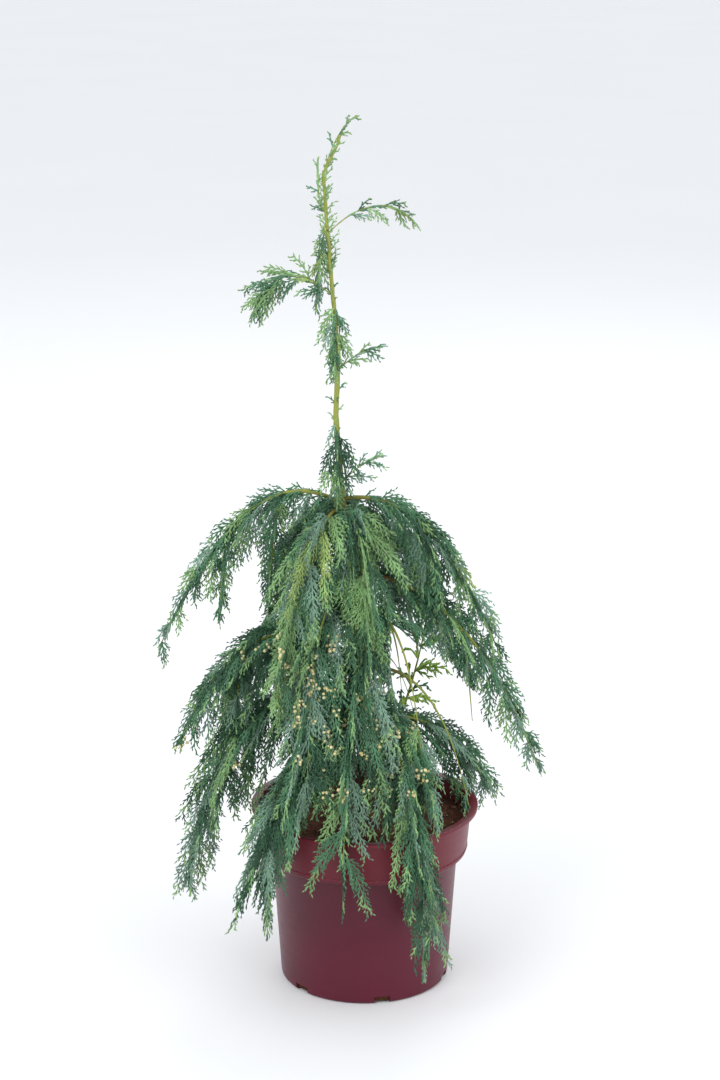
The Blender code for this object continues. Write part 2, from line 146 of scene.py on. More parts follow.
# Limbs, as in the model: foot is a height, heading is degrees from +X towards +Y, shoulder and
# reach lie out from the trunk, rise above and fall below the foot. bare is the leafless share,
# spread is how long the sprays grow, and shade is the group that their tones are dealt from.
Limb = namedtuple("Limb", "name foot heading shoulder rise reach fall swing radius bare spread shade")
SHOULDER_SHARE = 0.45
LIMBS = (
    Limb("upper_left", 0.408, 187, 0.068, 0.004, 0.150, 0.115, 0.006, 0.0024, 0.04, 0.042, "upper"),
    Limb("upper_right", 0.412, 352, 0.062, -0.014, 0.130, 0.126, -0.005, 0.0024, 0.03, 0.050, "upper"),
    Limb("upper_front_left", 0.404, 236, 0.050, -0.018, 0.094, 0.142, 0.006, 0.0021, 0.03, 0.062, "fresh"),
    Limb("upper_front", 0.396, 284, 0.040, -0.014, 0.070, 0.150, 0.004, 0.0020, 0.03, 0.060, "fresh"),
    Limb("upper_rear", 0.400, 84, 0.058, -0.010, 0.122, 0.125, 0.006, 0.0022, 0.04, 0.058, "upper"),
    Limb("upper_rear_left", 0.388, 124, 0.060, -0.006, 0.126, 0.128, -0.006, 0.0022, 0.04, 0.056, "upper"),
    Limb("upper_rear_right", 0.380, 44, 0.062, -0.012, 0.126, 0.130, 0.006, 0.0022, 0.04, 0.052, "upper"),
    Limb("middle_right", 0.352, 349, 0.080, -0.034, 0.157, 0.158, 0.006, 0.0026, 0.10, 0.046, "blue"),
    Limb("middle_front_left", 0.332, 248, 0.052, -0.006, 0.096, 0.132, -0.004, 0.0021, 0.08, 0.066, "blue"),
    Limb("middle_front_right", 0.320, 306, 0.052, -0.010, 0.096, 0.130, 0.005, 0.0021, 0.08, 0.056, "blue"),
    Limb("middle_left", 0.276, 191, 0.074, 0.026, 0.146, 0.060, 0.005, 0.0025, 0.10, 0.058, "deep"),
    Limb("middle_rear_left", 0.300, 146, 0.068, 0.000, 0.136, 0.116, 0.006, 0.0023, 0.12, 0.058, "deep"),
    Limb("middle_rear_right", 0.292, 72, 0.068, -0.004, 0.134, 0.118, -0.006, 0.0023, 0.12, 0.058, "deep"),
    Limb("lower_right", 0.268, 331, 0.056, -0.008, 0.104, 0.100, 0.004, 0.0022, 0.10, 0.038, "deep"),
    Limb("lower_front", 0.280, 264, 0.050, 0.000, 0.104, 0.144, 0.004, 0.0022, 0.08, 0.064, "blue"),
    Limb("lower_front_right", 0.248, 298, 0.067, -0.014, 0.122, 0.175, -0.004, 0.0023, 0.10, 0.060, "blue"),
    Limb("lower_front_left", 0.218, 227, 0.070, -0.012, 0.122, 0.098, 0.004, 0.0021, 0.10, 0.062, "deep"),
    Limb("lower_left", 0.240, 192, 0.084, -0.008, 0.146, 0.148, -0.005, 0.0024, 0.10, 0.064, "blue"),
    Limb("lower_rear_right", 0.226, 18, 0.062, -0.014, 0.114, 0.070, 0.005, 0.0021, 0.10, 0.056, "deep"),
    Limb("lower_rear", 0.228, 112, 0.068, -0.010, 0.126, 0.104, 0.006, 0.0022, 0.10, 0.064, "deep"),
    Limb("rootstock", 0.152, 34, 0.046, 0.085, 0.066, -0.186, 0.004, 0.0021, 0.30, 0.050, "rootstock"),
    Limb("leader_top", 0.676, 4, 0.010, 0.026, 0.026, -0.044, 0.000, 0.0007, 0.05, 0.020, "leader"),
    Limb("leader_upper_left", 0.644, 190, 0.005, 0.012, 0.006, -0.044, 0.000, 0.0006, 0.05, 0.022, "leader"),
    Limb("leader_right", 0.628, 356, 0.034, 0.022, 0.070, -0.008, -0.002, 0.0007, 0.14, 0.026, "leader"),
    Limb("leader_side", 0.640, 205, 0.005, -0.030, 0.009, 0.072, 0.000, 0.0006, 0.05, 0.022, "leader"),
    Limb("leader_left", 0.578, 188, 0.034, 0.018, 0.064, 0.014, 0.004, 0.0008, 0.05, 0.044, "leader"),
    Limb("leader_front", 0.576, 272, 0.012, -0.020, 0.016, 0.062, 0.002, 0.0007, 0.05, 0.032, "leader"),
    Limb("leader_lower_right", 0.518, 350, 0.016, 0.014, 0.034, -0.020, 0.003, 0.0007, 0.08, 0.026, "upper"),
    Limb("neck", 0.478, 268, 0.010, -0.024, 0.014, 0.080, 0.002, 0.0007, 0.05, 0.032, "upper"),
    Limb("neck_right", 0.425, 340, 0.014, 0.014, 0.034, -0.026, 0.002, 0.0007, 0.08, 0.030, "upper"),
)

# Short shoots that fill the crown round the trunk: they climb it, each a turn further round, and
# fall a little further each
FILLERS = 12
FIRST_FILLER, FILLER_TURN = 200, 137.5
FILLER_LOW, FILLER_HIGH = 0.200, 0.398
FILLER_FALL, FURTHER_FALL = 0.040, 0.004
FILLER_LIMBS = tuple(
    Limb(name=f"inner_{number + 1}", foot=FILLER_LOW + (FILLER_HIGH - FILLER_LOW) * number / (FILLERS - 1),
         heading=(FIRST_FILLER + FILLER_TURN * number) % 360, shoulder=0.030, rise=0.002, reach=0.056,
         fall=FILLER_FALL + FURTHER_FALL * number, swing=0.003, radius=0.0012, bare=0.08, spread=0.034,
         shade="deep" if number < FILLERS / 2 else "blue")
    for number in range(FILLERS))

# Bunches that hang from a limb: along is a share of its arc, lean is how far the tip swings out.
# A PENDANT_BEND under 1 makes a bunch swing out more near its top than near its tip.
Pendant = namedtuple("Pendant", "name limb along length lean spread")
PENDANT_BEND = 0.7
PENDANTS = (
    Pendant("upper_left_inner", "upper_left", 0.34, 0.096, 0.010, 0.024),
    Pendant("upper_left_outer", "upper_left", 0.62, 0.076, 0.008, 0.020),
    Pendant("upper_right", "upper_right", 0.50, 0.070, 0.004, 0.022),
    Pendant("middle_right", "middle_right", 0.52, 0.080, 0.010, 0.026),
    Pendant("middle_left", "middle_left", 0.60, 0.070, 0.006, 0.024),
)

# The foliage's tones, and how often each is dealt to a spray of a shade, in the same order
TONE_COLOURS = {
    "deep_green": (0.046, 0.122, 0.066),
    "mid_green": (0.098, 0.236, 0.126),
    "glaucous": (0.205, 0.345, 0.250),
    "light_green": (0.250, 0.430, 0.180),
    "fresh_green": (0.340, 0.470, 0.160),
    "rootstock_green": (0.300, 0.480, 0.090),
}
TONES = tuple(TONE_COLOURS)
DEALS = {
    "upper": (18, 40, 20, 20, 2, 0),
    "fresh": (10, 36, 16, 34, 4, 0),
    "blue": (18, 40, 34, 8, 0, 0),
    "deep": (34, 42, 20, 4, 0, 0),
    "leader": (2, 28, 12, 48, 10, 0),
    "rootstock": (0, 8, 0, 6, 14, 72),
}

# How a tone's weight shifts along a limb: what it is multiplied by at the trunk, and the change to
# the tip. Foliage is darker inside, which is painted shade, and lighter at the tips.
TONE_TILTS = ((1.9, -1.5), (1.0, 0.0), (0.8, 0.4), (0.4, 1.4), (0.3, 1.5), (1.0, 0.0))

# Pieces of foliage: each joins the limbs that it names, so that none is too heavy
LEAF_GROUPS = {
    "leaves_leader": [limb.name for limb in LIMBS if limb.name.startswith(("leader", "neck"))],
    "leaves_upper_sides": ["upper_left", "upper_right"],
    "leaves_upper_front": ["upper_front_left", "upper_front"],
    "leaves_upper_rear": ["upper_rear", "upper_rear_left", "upper_rear_right"],
    "leaves_middle_sides": ["middle_right", "middle_left"],
    "leaves_middle_front": ["middle_front_left", "middle_front_right"],
    "leaves_middle_rear": ["middle_rear_left", "middle_rear_right"],
    "leaves_lower_front": ["lower_front", "lower_front_left"],
    "leaves_lower_front_right": ["lower_front_right"],
    "leaves_lower_sides": ["lower_left", "lower_right"],
    "leaves_lower_rear": ["lower_rear_right", "lower_rear"],
    "leaves_rootstock": ["rootstock"],
    "leaves_inner_low": [limb.name for limb in FILLER_LIMBS[:FILLERS // 2]],
    "leaves_inner_high": [limb.name for limb in FILLER_LIMBS[FILLERS // 2:]],
}

# Limbs that show in the gap, that hang as a curtain over the rim, and that bear cones
GAP_LIMBS = ("rootstock", "lower_rear_right")
CURTAIN_LIMBS = ("lower_front", "lower_front_left", "lower_front_right", "middle_front_left",
                 "middle_front_right")
CONE_LIMBS = ("middle_front_left", "middle_front_right", "lower_front", "middle_left",
              "lower_left", "middle_right", "lower_front_right", "upper_front_left")

# The gap right of the trunk that shows the rootstock's shoot: a slanting band, seen from the front.
# Its edges are heights at Y = 0 that fall away by their slope from GAP_LEFT on.
SIGHT_SLOPE = 0.285
GAP_LEFT, GAP_RIGHT = 0.022, 0.092
GAP_TOP, GAP_TOP_SLOPE = 0.308, 0.90
GAP_FOOT, GAP_FOOT_SLOPE = 0.256, 1.30

# How far foliage may stand out of the model's box at its sides and top, and how low it may hang
PROUD = 0.011
PROUD_ABOVE = PROUD / 4
LOWEST_SHOOT = 0.004

# How side shoots grow from what bears them. taper is how much shorter they are at its tip, angle is
# in degrees, droop is a share of their length, and points is how many their paths have.
Growth = namedtuple("Growth", "taper angle droop points")
TWIG_GROWTH = Growth(0.62, 31, 0.28, 4)
TWIGLET_GROWTH = Growth(0.45, 29, 0.10, 3)
FORWARD_BEND = 0.16
FIRST_SHOOT, LAST_SHOOT = 0.02, 0.985

# How uneven they are: in place, angle in degrees, lean out of the plane, own plane and length
UNEVEN_PLACE = 0.3
UNEVEN_ANGLE = 7
UNEVEN_LEAN = 0.13
UNEVEN_PLANE = 0.16
UNEVEN_LENGTH = (0.72, 1.12)

# Sprays: those in the limb's plane droop less than those below it, and all less on the leader,
# where they stand closer too. Those near the limb's foot are short, and the limb's own end is a
# spray as well. A tail is how much shorter sprays are at the tip.
SPRAY_ANGLE = 38
SPRAY_POINTS = 7
SIDE_DROOP = 0.55
UNDER_DROOP = 0.85
LEADER_DROOP = 0.35
SLENDER_TAIL, FULL_TAIL = 0.78, 0.48
OPEN_SPACING = 1.15
LENGTH_AT_FOOT, LENGTH_GAIN = 0.50, 1.8
END_SPRAY_FROM = 0.55

# Points along the paths that sprays grow from
LIMB_POINTS = 30
PENDANT_POINTS = 24
STEM_POINTS = 40

# Longest twigs and twiglets as shares of what bears them, and the young twigs that turn light
TWIG_SHARE, TWIGLET_SHARE = 0.42, 0.55
YOUNG_FROM, YOUNG_CHANCE = 0.72, 0.55
ROOTSTOCK_COARSENESS = 1.6

# Shoots swell and narrow along their way like rows of scales
BEADS = (0.80, 1.10, 0.86, 1.05, 0.80, 1.0, 0.7)
SPRAY_THICKNESS = 0.95
SPRAY_SIDES = 4
TWIG_SIDES = 3

# The sides of a tube are laid out from Z, or from X where its first stretch is more upright than this
UPRIGHT = 0.9

# Short strands along the leader's own stem
LEADER_STRANDS = (0.455, 0.700)
LEADER_SPREAD = 0.015

# Seeds of the foliage's random draws
LIMB_SEED, LEADER_SEED, CONE_SEED = 7, 17, 41

# Cones sit in the front of the crown, between two heights. A cluster takes every third of the tips
# nearest to its middle. The profile gives the width at each share of a cone's length.
CONE_LOW, CONE_HIGH = 0.19, 0.32
CONE_FRONT = -0.030
CLUSTER_CONES = 7
CLUSTER_STRIDE = 3
CONE_LENGTHS = (0.0022, 0.0032)
CONE_WIDTH = 0.46
CONE_SIDES = 6
CONE_SHARES = (0.0, 0.28, 0.72, 1.0)
CONE_PROFILE = (0.45, 1.0, 0.85, 0.0)
CONE_LEAN = (0, -0.4, -0.8)

# Wood: boughs are slimmer than the model's and taper to a thin tip
TRUNK_RINGS, TRUNK_SIDES = 170, 18
BOUGH_RINGS, BOUGH_SIDES = 26, 9
BOUGH_SLIMMING = 0.8
BOUGH_TAPER = 0.9
BOUGH_TIP = 0.00035
PENDANT_RINGS, PENDANT_SIDES = 12, 6
PENDANT_TAPER = 0.0009
PENDANT_TIP = 0.0003

# Bark: its grain is finer round a stem than along it, and shallower on boughs. It turns to young
# skin between two distances out from the pot's axis, or two heights.
BARK_GRAIN_ROUND, BARK_GRAIN_ALONG = 420, 110
BOUGH_RELIEF = 0.4
YOUNG_OUT_FROM, YOUNG_OUT_TO = 0.014, 0.046
YOUNG_UP_FROM, YOUNG_UP_TO = 0.370, 0.440

# Finishes: how wide the change between a material's two colours is, and how deep its bump goes
PATCH_FROM, PATCH_TO = 0.36, 0.64
BUMP_DEPTH = 0.0004

# Stage: the camera that sees the plant as the photograph does, and the lamps, whose power is a
# share of the key light's
CAMERA_PLACE = (-0.0038, -2.0153, 0.9518)
CAMERA_DOWN = 15.89
CAMERA_LENS = 86.15
SENSOR_WIDTH = 36.0
Lamp = namedtuple("Lamp", "name place share size")
LAMPS = (
    Lamp("key", (-1.5, -1.9, 2.2), 1.0, 1.6),
    Lamp("fill", (1.9, -1.4, 1.5), 0.5, 1.8),
    Lamp("rim", (0.4, 2.0, 2.1), 0.45, 1.5),
)
LAMPS_AIM = Vector((0, 0, 0.3))
FLOOR_RADIUS = 14.0
FLOOR_SIDES = 96
FLOOR_HEIGHT = -0.0002
SKY_COLOUR = (0.97, 0.985, 1.0, 1.0)


class PotSettings(PropertyGroup):
    """Sizes and finish of the nursery pot."""
    colour: FloatVectorProperty(name="Colour", description="Plum plastic of the pot",
                                subtype="COLOR", size=3, default=(0.092, 0.006, 0.020), min=0, max=1)
    collar_colour: FloatVectorProperty(name="Collar colour", description="Redder plastic of the collar",
                                       subtype="COLOR", size=3, default=(0.140, 0.008, 0.020), min=0, max=1)
    roughness: FloatProperty(name="Roughness", description="Roughness of the satin plastic",
                             subtype="FACTOR", default=0.36, min=0, max=1)
    dashes: IntProperty(name="Dashes", description="Raised dashes along the foot of the collar",
                        default=108, min=0, max=300)


class SoilSettings(PropertyGroup):
    """The potting soil and what lies loose on it."""
    chips: IntProperty(name="Bark chips", description="Loose pieces of bark on the soil",
                       default=900, min=0, max=3000)
    granules: IntProperty(name="Granules", description="Pale grains in the soil",
                          default=130, min=0, max=1000)
    colour: FloatVectorProperty(name="Colour", description="Moist reddish peat",
                                subtype="COLOR", size=3, default=(0.085, 0.030, 0.014), min=0, max=1)


class WoodSettings(PropertyGroup):
    """Bark of the trunk and the young stems."""
    bark: FloatVectorProperty(name="Bark", description="Red-brown bark of old wood",
                              subtype="COLOR", size=3, default=(0.150, 0.062, 0.030), min=0, max=1)
    young: FloatVectorProperty(name="Young stems", description="Yellow-green skin of young wood",
                               subtype="COLOR", size=3, default=(0.280, 0.310, 0.070), min=0, max=1)
    relief: FloatProperty(name="Relief", description="Height of the bark's ridges",
                          subtype="DISTANCE", default=0.0005, min=0, max=0.002)


class FoliageSettings(PropertyGroup):
    """Spacing and size of sprays, twigs and twiglets."""
    spray_spacing: FloatProperty(name="Spray spacing", description="Gap between sprays along a limb",
                                 subtype="DISTANCE", default=0.0042, min=0.002, max=0.05)
    twig_spacing: FloatProperty(name="Twig spacing", description="Gap between twigs along a spray",
                                subtype="DISTANCE", default=0.0026, min=0.002, max=0.02)
    twiglet_spacing: FloatProperty(name="Twiglet spacing", description="Gap between twiglets along a twig",
                                   subtype="DISTANCE", default=0.0023, min=0.001, max=0.02)
    twig_length: FloatProperty(name="Twig length", description="Longest twig of a spray",
                               subtype="DISTANCE", default=0.0165, min=0.002, max=0.05)
    twiglet_length: FloatProperty(name="Twiglet length", description="Longest scaly twiglet",
                                  subtype="DISTANCE", default=0.0050, min=0.001, max=0.02)
    thickness: FloatProperty(name="Thickness", description="Radius of a scaly twiglet",
                             subtype="DISTANCE", default=0.00060, min=0.0002, max=0.003)
    cones: IntProperty(name="Cones", description="Small pale cones at the twigs' tips",
                       default=840, min=0, max=2000)


class StageSettings(PropertyGroup):
    """Floor and studio light."""
    floor: FloatVectorProperty(name="Floor", description="Pale floor", subtype="COLOR", size=3,
                               default=(0.86, 0.87, 0.89), min=0, max=1)
    key: FloatProperty(name="Key light", description="Power of the large soft light", subtype="POWER",
                       default=30.0, min=0, max=1000)
    sky: FloatProperty(name="Sky", description="Strength of the light from all round",
                       default=1.0, min=0, max=10)


def settings(group):
    """Give one of the scene's property groups."""
    return getattr(bpy.context.scene, "cypress_" + group)


def add_piece(name, mesh, replaced=()):
    """Link a finished mesh as a piece that rides on the plant's one body."""
    piece = bpy.data.objects.new(name, mesh)
    bpy.context.scene.collection.objects.link(piece)
    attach(piece, "root")
    if replaced:
        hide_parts(*replaced)
    return piece


def mesh_of(name, bm, *materials, smooth=True):
    """Turn a bmesh into a mesh with its materials."""
    mesh = bpy.data.meshes.new(name)
    for face in bm.faces:
        face.smooth = smooth
    bm.to_mesh(mesh)
    bm.free()
    for material in materials:
        mesh.materials.append(material)
    return mesh


def climb_between(nodes, low, high):
    """Add a node that climbs from 0 to 1 between two values."""
    node = nodes.new("ShaderNodeMapRange")
    node.inputs["From Min"].default_value = low
    node.inputs["From Max"].default_value = high
    return node


def mottling_group():
    """Make or find the shared node group: patchy colour and a fine height over the surface."""
    group = bpy.data.node_groups.get("mottling")
    if group:
        return group
    group = bpy.data.node_groups.new("mottling", "ShaderNodeTree")
    sockets = (("Low", "NodeSocketColor", "INPUT"), ("High", "NodeSocketColor", "INPUT"),
               ("Patch Scale", "NodeSocketFloat", "INPUT"), ("Grain Scale", "NodeSocketFloat", "INPUT"),
               ("Color", "NodeSocketColor", "OUTPUT"), ("Height", "NodeSocketFloat", "OUTPUT"))
    for name, kind, side in sockets:
        group.interface.new_socket(name=name, socket_type=kind, in_out=side)
    nodes, links = group.nodes, group.links
    inputs, outputs = nodes.new("NodeGroupInput"), nodes.new("NodeGroupOutput")
    place = nodes.new("ShaderNodeTexCoord")
    patch, grain = nodes.new("ShaderNodeTexNoise"), nodes.new("ShaderNodeTexNoise")
    patch.inputs["Detail"].default_value = 2.0
    grain.inputs["Detail"].default_value = 4.0
    spread = climb_between(nodes, PATCH_FROM, PATCH_TO)
    mix = nodes.new("ShaderNodeMix")
    mix.data_type = "RGBA"
    for texture, scale in ((patch, "Patch Scale"), (grain, "Grain Scale")):
        links.new(place.outputs["Object"], texture.inputs["Vector"])
        links.new(inputs.outputs[scale], texture.inputs["Scale"])
    links.new(patch.outputs["Fac"], spread.inputs["Value"])
    links.new(spread.outputs["Result"], mix.inputs["Factor"])
    links.new(inputs.outputs["Low"], mix.inputs["A"])
    links.new(inputs.outputs["High"], mix.inputs["B"])
    links.new(mix.outputs["Result"], outputs.inputs["Color"])
    links.new(grain.outputs["Fac"], outputs.inputs["Height"])
    return group


def make_material(name, low, high, roughness, patch, grain, bump, specular=0.5):
    """Make a material whose colour drifts between low and high, with a fine bump."""
    material = bpy.data.materials.get("look_" + name)
    if material:
        return material
    material = bpy.data.materials.new("look_" + name)
    material.use_nodes = True
    nodes, links = material.node_tree.nodes, material.node_tree.links
    shader = nodes["Principled BSDF"]
    shader.inputs["Roughness"].default_value = roughness
    shader.inputs["Specular IOR Level"].default_value = specular
    mottle = nodes.new("ShaderNodeGroup")
    mottle.node_tree = mottling_group()
    mottle.inputs["Low"].default_value = (*low, 1.0)
    mottle.inputs["High"].default_value = (*high, 1.0)
    mottle.inputs["Patch Scale"].default_value = patch
    mottle.inputs["Grain Scale"].default_value = grain
    relief = nodes.new("ShaderNodeBump")
    relief.inputs["Strength"].default_value = bump
    relief.inputs["Distance"].default_value = BUMP_DEPTH
    links.new(mottle.outputs["Color"], shader.inputs["Base Color"])
    links.new(mottle.outputs["Height"], relief.inputs["Height"])
    links.new(relief.outputs["Normal"], shader.inputs["Normal"])
    return material


def second_colour(material, colour):
    """Lay a second colour over a material's own, and give the socket for how much of it shows."""
    nodes, links = material.node_tree.nodes, material.node_tree.links
    base = nodes["Principled BSDF"].inputs["Base Color"]
    mix = nodes.new("ShaderNodeMix")
    mix.data_type = "RGBA"
    mix.inputs["B"].default_value = (*colour, 1.0)
    links.new(base.links[0].from_socket, mix.inputs["A"])
    links.new(mix.outputs["Result"], base)
    return mix.inputs["Factor"]


def shaded(colour, share):
    """Give a colour made darker or lighter by a share."""
    return tuple(min(1.0, channel * share) for channel in colour)


def leaf_materials():
    """Make the foliage's tones, each drifting a little over the crown."""
    return [make_material(tone, shaded(colour, 0.78), shaded(colour, 1.22), roughness=0.58, patch=45.0,
                          grain=1400.0, bump=0.15, specular=0.35)
            for tone, colour in TONE_COLOURS.items()]


def trunk_centre(height):
    """Give the middle of the trunk at a height."""
    for low, high in zip(TRUNK, TRUNK[1:]):
        if height <= high.height:
            break
    share = (height - low.height) / (high.height - low.height)
    return Vector((low.across + share * (high.across - low.across), 0.0, height))


def limb_at(limb, along):
    """Give the point, the direction and the side of a limb's arc at a share of its way."""
    foot = trunk_centre(limb.foot)
    heading = Vector((math.cos(math.radians(limb.heading)), math.sin(math.radians(limb.heading)), 0))
    side = Vector((-heading.y, heading.x, 0))
    shoulder = foot + heading * limb.shoulder + Vector((0, 0, limb.rise))
    tip = foot + heading * limb.reach - Vector((0, 0, limb.fall))
    near, far = (1 - SHOULDER_SHARE) ** 2, SHOULDER_SHARE ** 2
    bend = (shoulder - foot * near - tip * far) / (2 * SHOULDER_SHARE * (1 - SHOULDER_SHARE))
    back = 1 - along
    point = foot * back ** 2 + bend * (2 * along * back) + tip * along ** 2
    point += side * limb.swing * math.sin(math.pi * along)
    ahead = ((bend - foot) * back + (tip - bend) * along).normalized()
    return point, ahead, side


def ring_of_boxes(bm, count, size, place, first=0.0):
    """Stand boxes in a ring round the pot's axis, the first turned by an angle."""
    for number in range(count):
        made = bmesh.ops.create_cube(bm, size=1.0)["verts"]
        turn = Matrix.Rotation(first + number * math.tau / count, 3, "Z")
        bmesh.ops.scale(bm, vec=size, verts=made)
        bmesh.ops.translate(bm, vec=place, verts=made)
        bmesh.ops.rotate(bm, cent=(0, 0, 0), matrix=turn, verts=made)


def loft_tube(bm, points, radii, sides, relief=0.0, seed=0.0):
    """Extrude a ring along points, rough it like bark, and close it at its tip."""
    radii = [float(radius) for radius in radii]
    ahead = (points[1] - points[0]).normalized()
    side = ahead.orthogonal().normalized()
    ring = []
    for corner in range(sides):
        angle = math.tau * corner / sides
        ring.append(bm.verts.new(points[0] + radii[0] * (side * math.cos(angle)
                                                         + ahead.cross(side) * math.sin(angle))))
    first = face = bm.faces.new(ring)
    made = [(vert, points[0]) for vert in ring]
    for index in range(1, len(points)):
        after = points[min(index + 1, len(points) - 1)]
        ahead = (after - points[index - 1]).normalized()
        side = (side - ahead * side.dot(ahead)).normalized()
        up = ahead.cross(side)
        grown = bmesh.ops.extrude_face_region(bm, geom=[face])["geom"]
        if face is not first:
            bmesh.ops.delete(bm, geom=[face], context="FACES_ONLY")
        face = next(item for item in grown if isinstance(item, bmesh.types.BMFace))
        for corner, vert in enumerate(face.verts):
            angle = math.tau * corner / sides
            vert.co = points[index] + radii[index] * (side * math.cos(angle) + up * math.sin(angle))
            made.append((vert, points[index]))
    if relief:
        for vert, centre in made:
            place = Vector((vert.co.x * BARK_GRAIN_ROUND, vert.co.y * BARK_GRAIN_ROUND,
                            vert.co.z * BARK_GRAIN_ALONG + seed))
            vert.co += (vert.co - centre).normalized() * relief * noise.noise(place)


class CYPRESS_OT_pot(Operator):
    """Turn the plum pot with its rounded lip, its drain slots and the dashes round its collar"""
    bl_idname = "cypress.pot"
    bl_label = "Pot"

    def execute(self, context):
        choice = settings("pot")
        taper = (BODY_TOP_RADIUS - FOOT_RADIUS) / LEDGE
        outline = (
            (0.0, 0.0), (FOOT_RADIUS - FOOT_RING, 0.0), (FOOT_RADIUS - FOOT_ROUNDING, 0.0),
            (FOOT_RADIUS, FOOT_ROUNDING), (FOOT_RADIUS + ABOVE_SLOTS * taper, ABOVE_SLOTS),
            (BODY_TOP_RADIUS, LEDGE - POT_WALL), (COLLAR_FOOT_RADIUS - POT_WALL, LEDGE - POT_WALL),
            (COLLAR_FOOT_RADIUS, LEDGE), (COLLAR_TOP_RADIUS, POT_HEIGHT - LIP_THICKNESS),
            (LIP_RADIUS, POT_HEIGHT - LIP_THICKNESS), (LIP_RADIUS, POT_HEIGHT),
            (COLLAR_TOP_RADIUS - POT_WALL, POT_HEIGHT), (COLLAR_FOOT_RADIUS - POT_WALL, LEDGE),
            (BODY_TOP_RADIUS - POT_WALL, LEDGE),
            (FOOT_RADIUS - POT_WALL + ABOVE_SLOTS * taper, ABOVE_SLOTS),
            (FOOT_RADIUS - POT_WALL, POT_FLOOR), (0.0, POT_FLOOR),
        )
        bm = bmesh.new()
        verts = [bm.verts.new((radius, 0.0, height)) for radius, height in outline]
        edges = [bm.edges.new((a, b)) for a, b in zip(verts, verts[1:])]
        bmesh.ops.spin(bm, geom=verts + edges, cent=(0, 0, 0), axis=(0, 0, 1),
                       angle=math.tau, steps=POT_STEPS, use_merge=True)
        bmesh.ops.remove_doubles(bm, verts=bm.verts, dist=1e-6)
        bmesh.ops.recalc_face_normals(bm, faces=bm.faces)
        rims = [edge for edge in bm.edges
                if len(edge.link_faces) == 2 and edge.calc_face_angle() > SHARP_EDGE
                and abs(edge.verts[0].co.z - edge.verts[1].co.z) < 1e-6
                and edge.verts[0].co.xy.length > ROUNDED_FROM]
        bmesh.ops.bevel(bm, geom=rims, offset=EDGE_ROUNDING, offset_type="OFFSET", segments=3, profile=0.5,
                        affect="EDGES", material=-1, clamp_overlap=True)
        mesh = mesh_of("nursery_pot", bm, self.plastic(choice))
        pot = add_piece("nursery_pot", mesh, ["pot"])
        self.cut_slots(pot)
        if choice.dashes:
            self.add_dashes(choice)
        return {"FINISHED"}

    def plastic(self, choice):
        """Make the satin plastic, redder on the collar and scuffed along fine lines."""
        material = make_material("plum_plastic", shaded(choice.colour, 0.88), shaded(choice.colour, 1.15),
                                 choice.roughness, patch=9.0, grain=900.0, bump=0.10, specular=0.32)
        nodes, links = material.node_tree.nodes, material.node_tree.links
        place, split = nodes.new("ShaderNodeTexCoord"), nodes.new("ShaderNodeSeparateXYZ")
        height = climb_between(nodes, LEDGE - COLLAR_EDGE, LEDGE + COLLAR_EDGE)
        links.new(place.outputs["Object"], split.inputs["Vector"])
        links.new(split.outputs["Z"], height.inputs["Value"])
        links.new(height.outputs["Result"], second_colour(material, choice.collar_colour))
        scuff, stretch = nodes.new("ShaderNodeTexNoise"), nodes.new("ShaderNodeMapping")
        stretch.inputs["Scale"].default_value = SCUFF_SCALE
        rough = nodes.new("ShaderNodeMapRange")
        rough.inputs["To Min"].default_value = choice.roughness - SCUFF_SMOOTHER
        rough.inputs["To Max"].default_value = choice.roughness + SCUFF_ROUGHER
        links.new(place.outputs["Object"], stretch.inputs["Vector"])
        links.new(stretch.outputs["Vector"], scuff.inputs["Vector"])
        scuff.inputs["Scale"].default_value = 1.0
        links.new(scuff.outputs["Fac"], rough.inputs["Value"])
        links.new(rough.outputs["Result"], nodes["Principled BSDF"].inputs["Roughness"])
        return material

    def cut_slots(self, pot):
        """Cut the drain slots through the foot."""
        bm = bmesh.new()
        ring_of_boxes(bm, DRAIN_SLOTS, DRAIN_SLOT, (FOOT_RADIUS, 0, 0), math.radians(FIRST_DRAIN_SLOT))
        cutter = bpy.data.objects.new("slots", mesh_of("slots", bm, smooth=False))
        bpy.context.scene.collection.objects.link(cutter)
        modifier = pot.modifiers.new("slots", "BOOLEAN")
        modifier.operation, modifier.solver, modifier.object = "DIFFERENCE", "EXACT", cutter
        graph = bpy.context.evaluated_depsgraph_get()
        shape = bpy.data.meshes.new_from_object(pot.evaluated_get(graph))
        pot.modifiers.clear()
        pot.data = shape
        bpy.data.objects.remove(cutter)

    def add_dashes(self, choice):
        """Set raised dashes round the foot of the collar, their plastic lighter than the collar's as a
        painted highlight.
        """
        bm = bmesh.new()
        ring_of_boxes(bm, choice.dashes, DASH, DASH_PLACE)
        # The dashes are the collar's plastic made lighter: a painted highlight on their raised faces
        material = make_material("dash_plastic", shaded(choice.collar_colour, 1.2),
                                 shaded(choice.collar_colour, 1.6), roughness=0.4, patch=30.0,
                                 grain=900.0, bump=0.05)
        add_piece("collar_dashes", mesh_of("collar_dashes", bm, material, smooth=False))


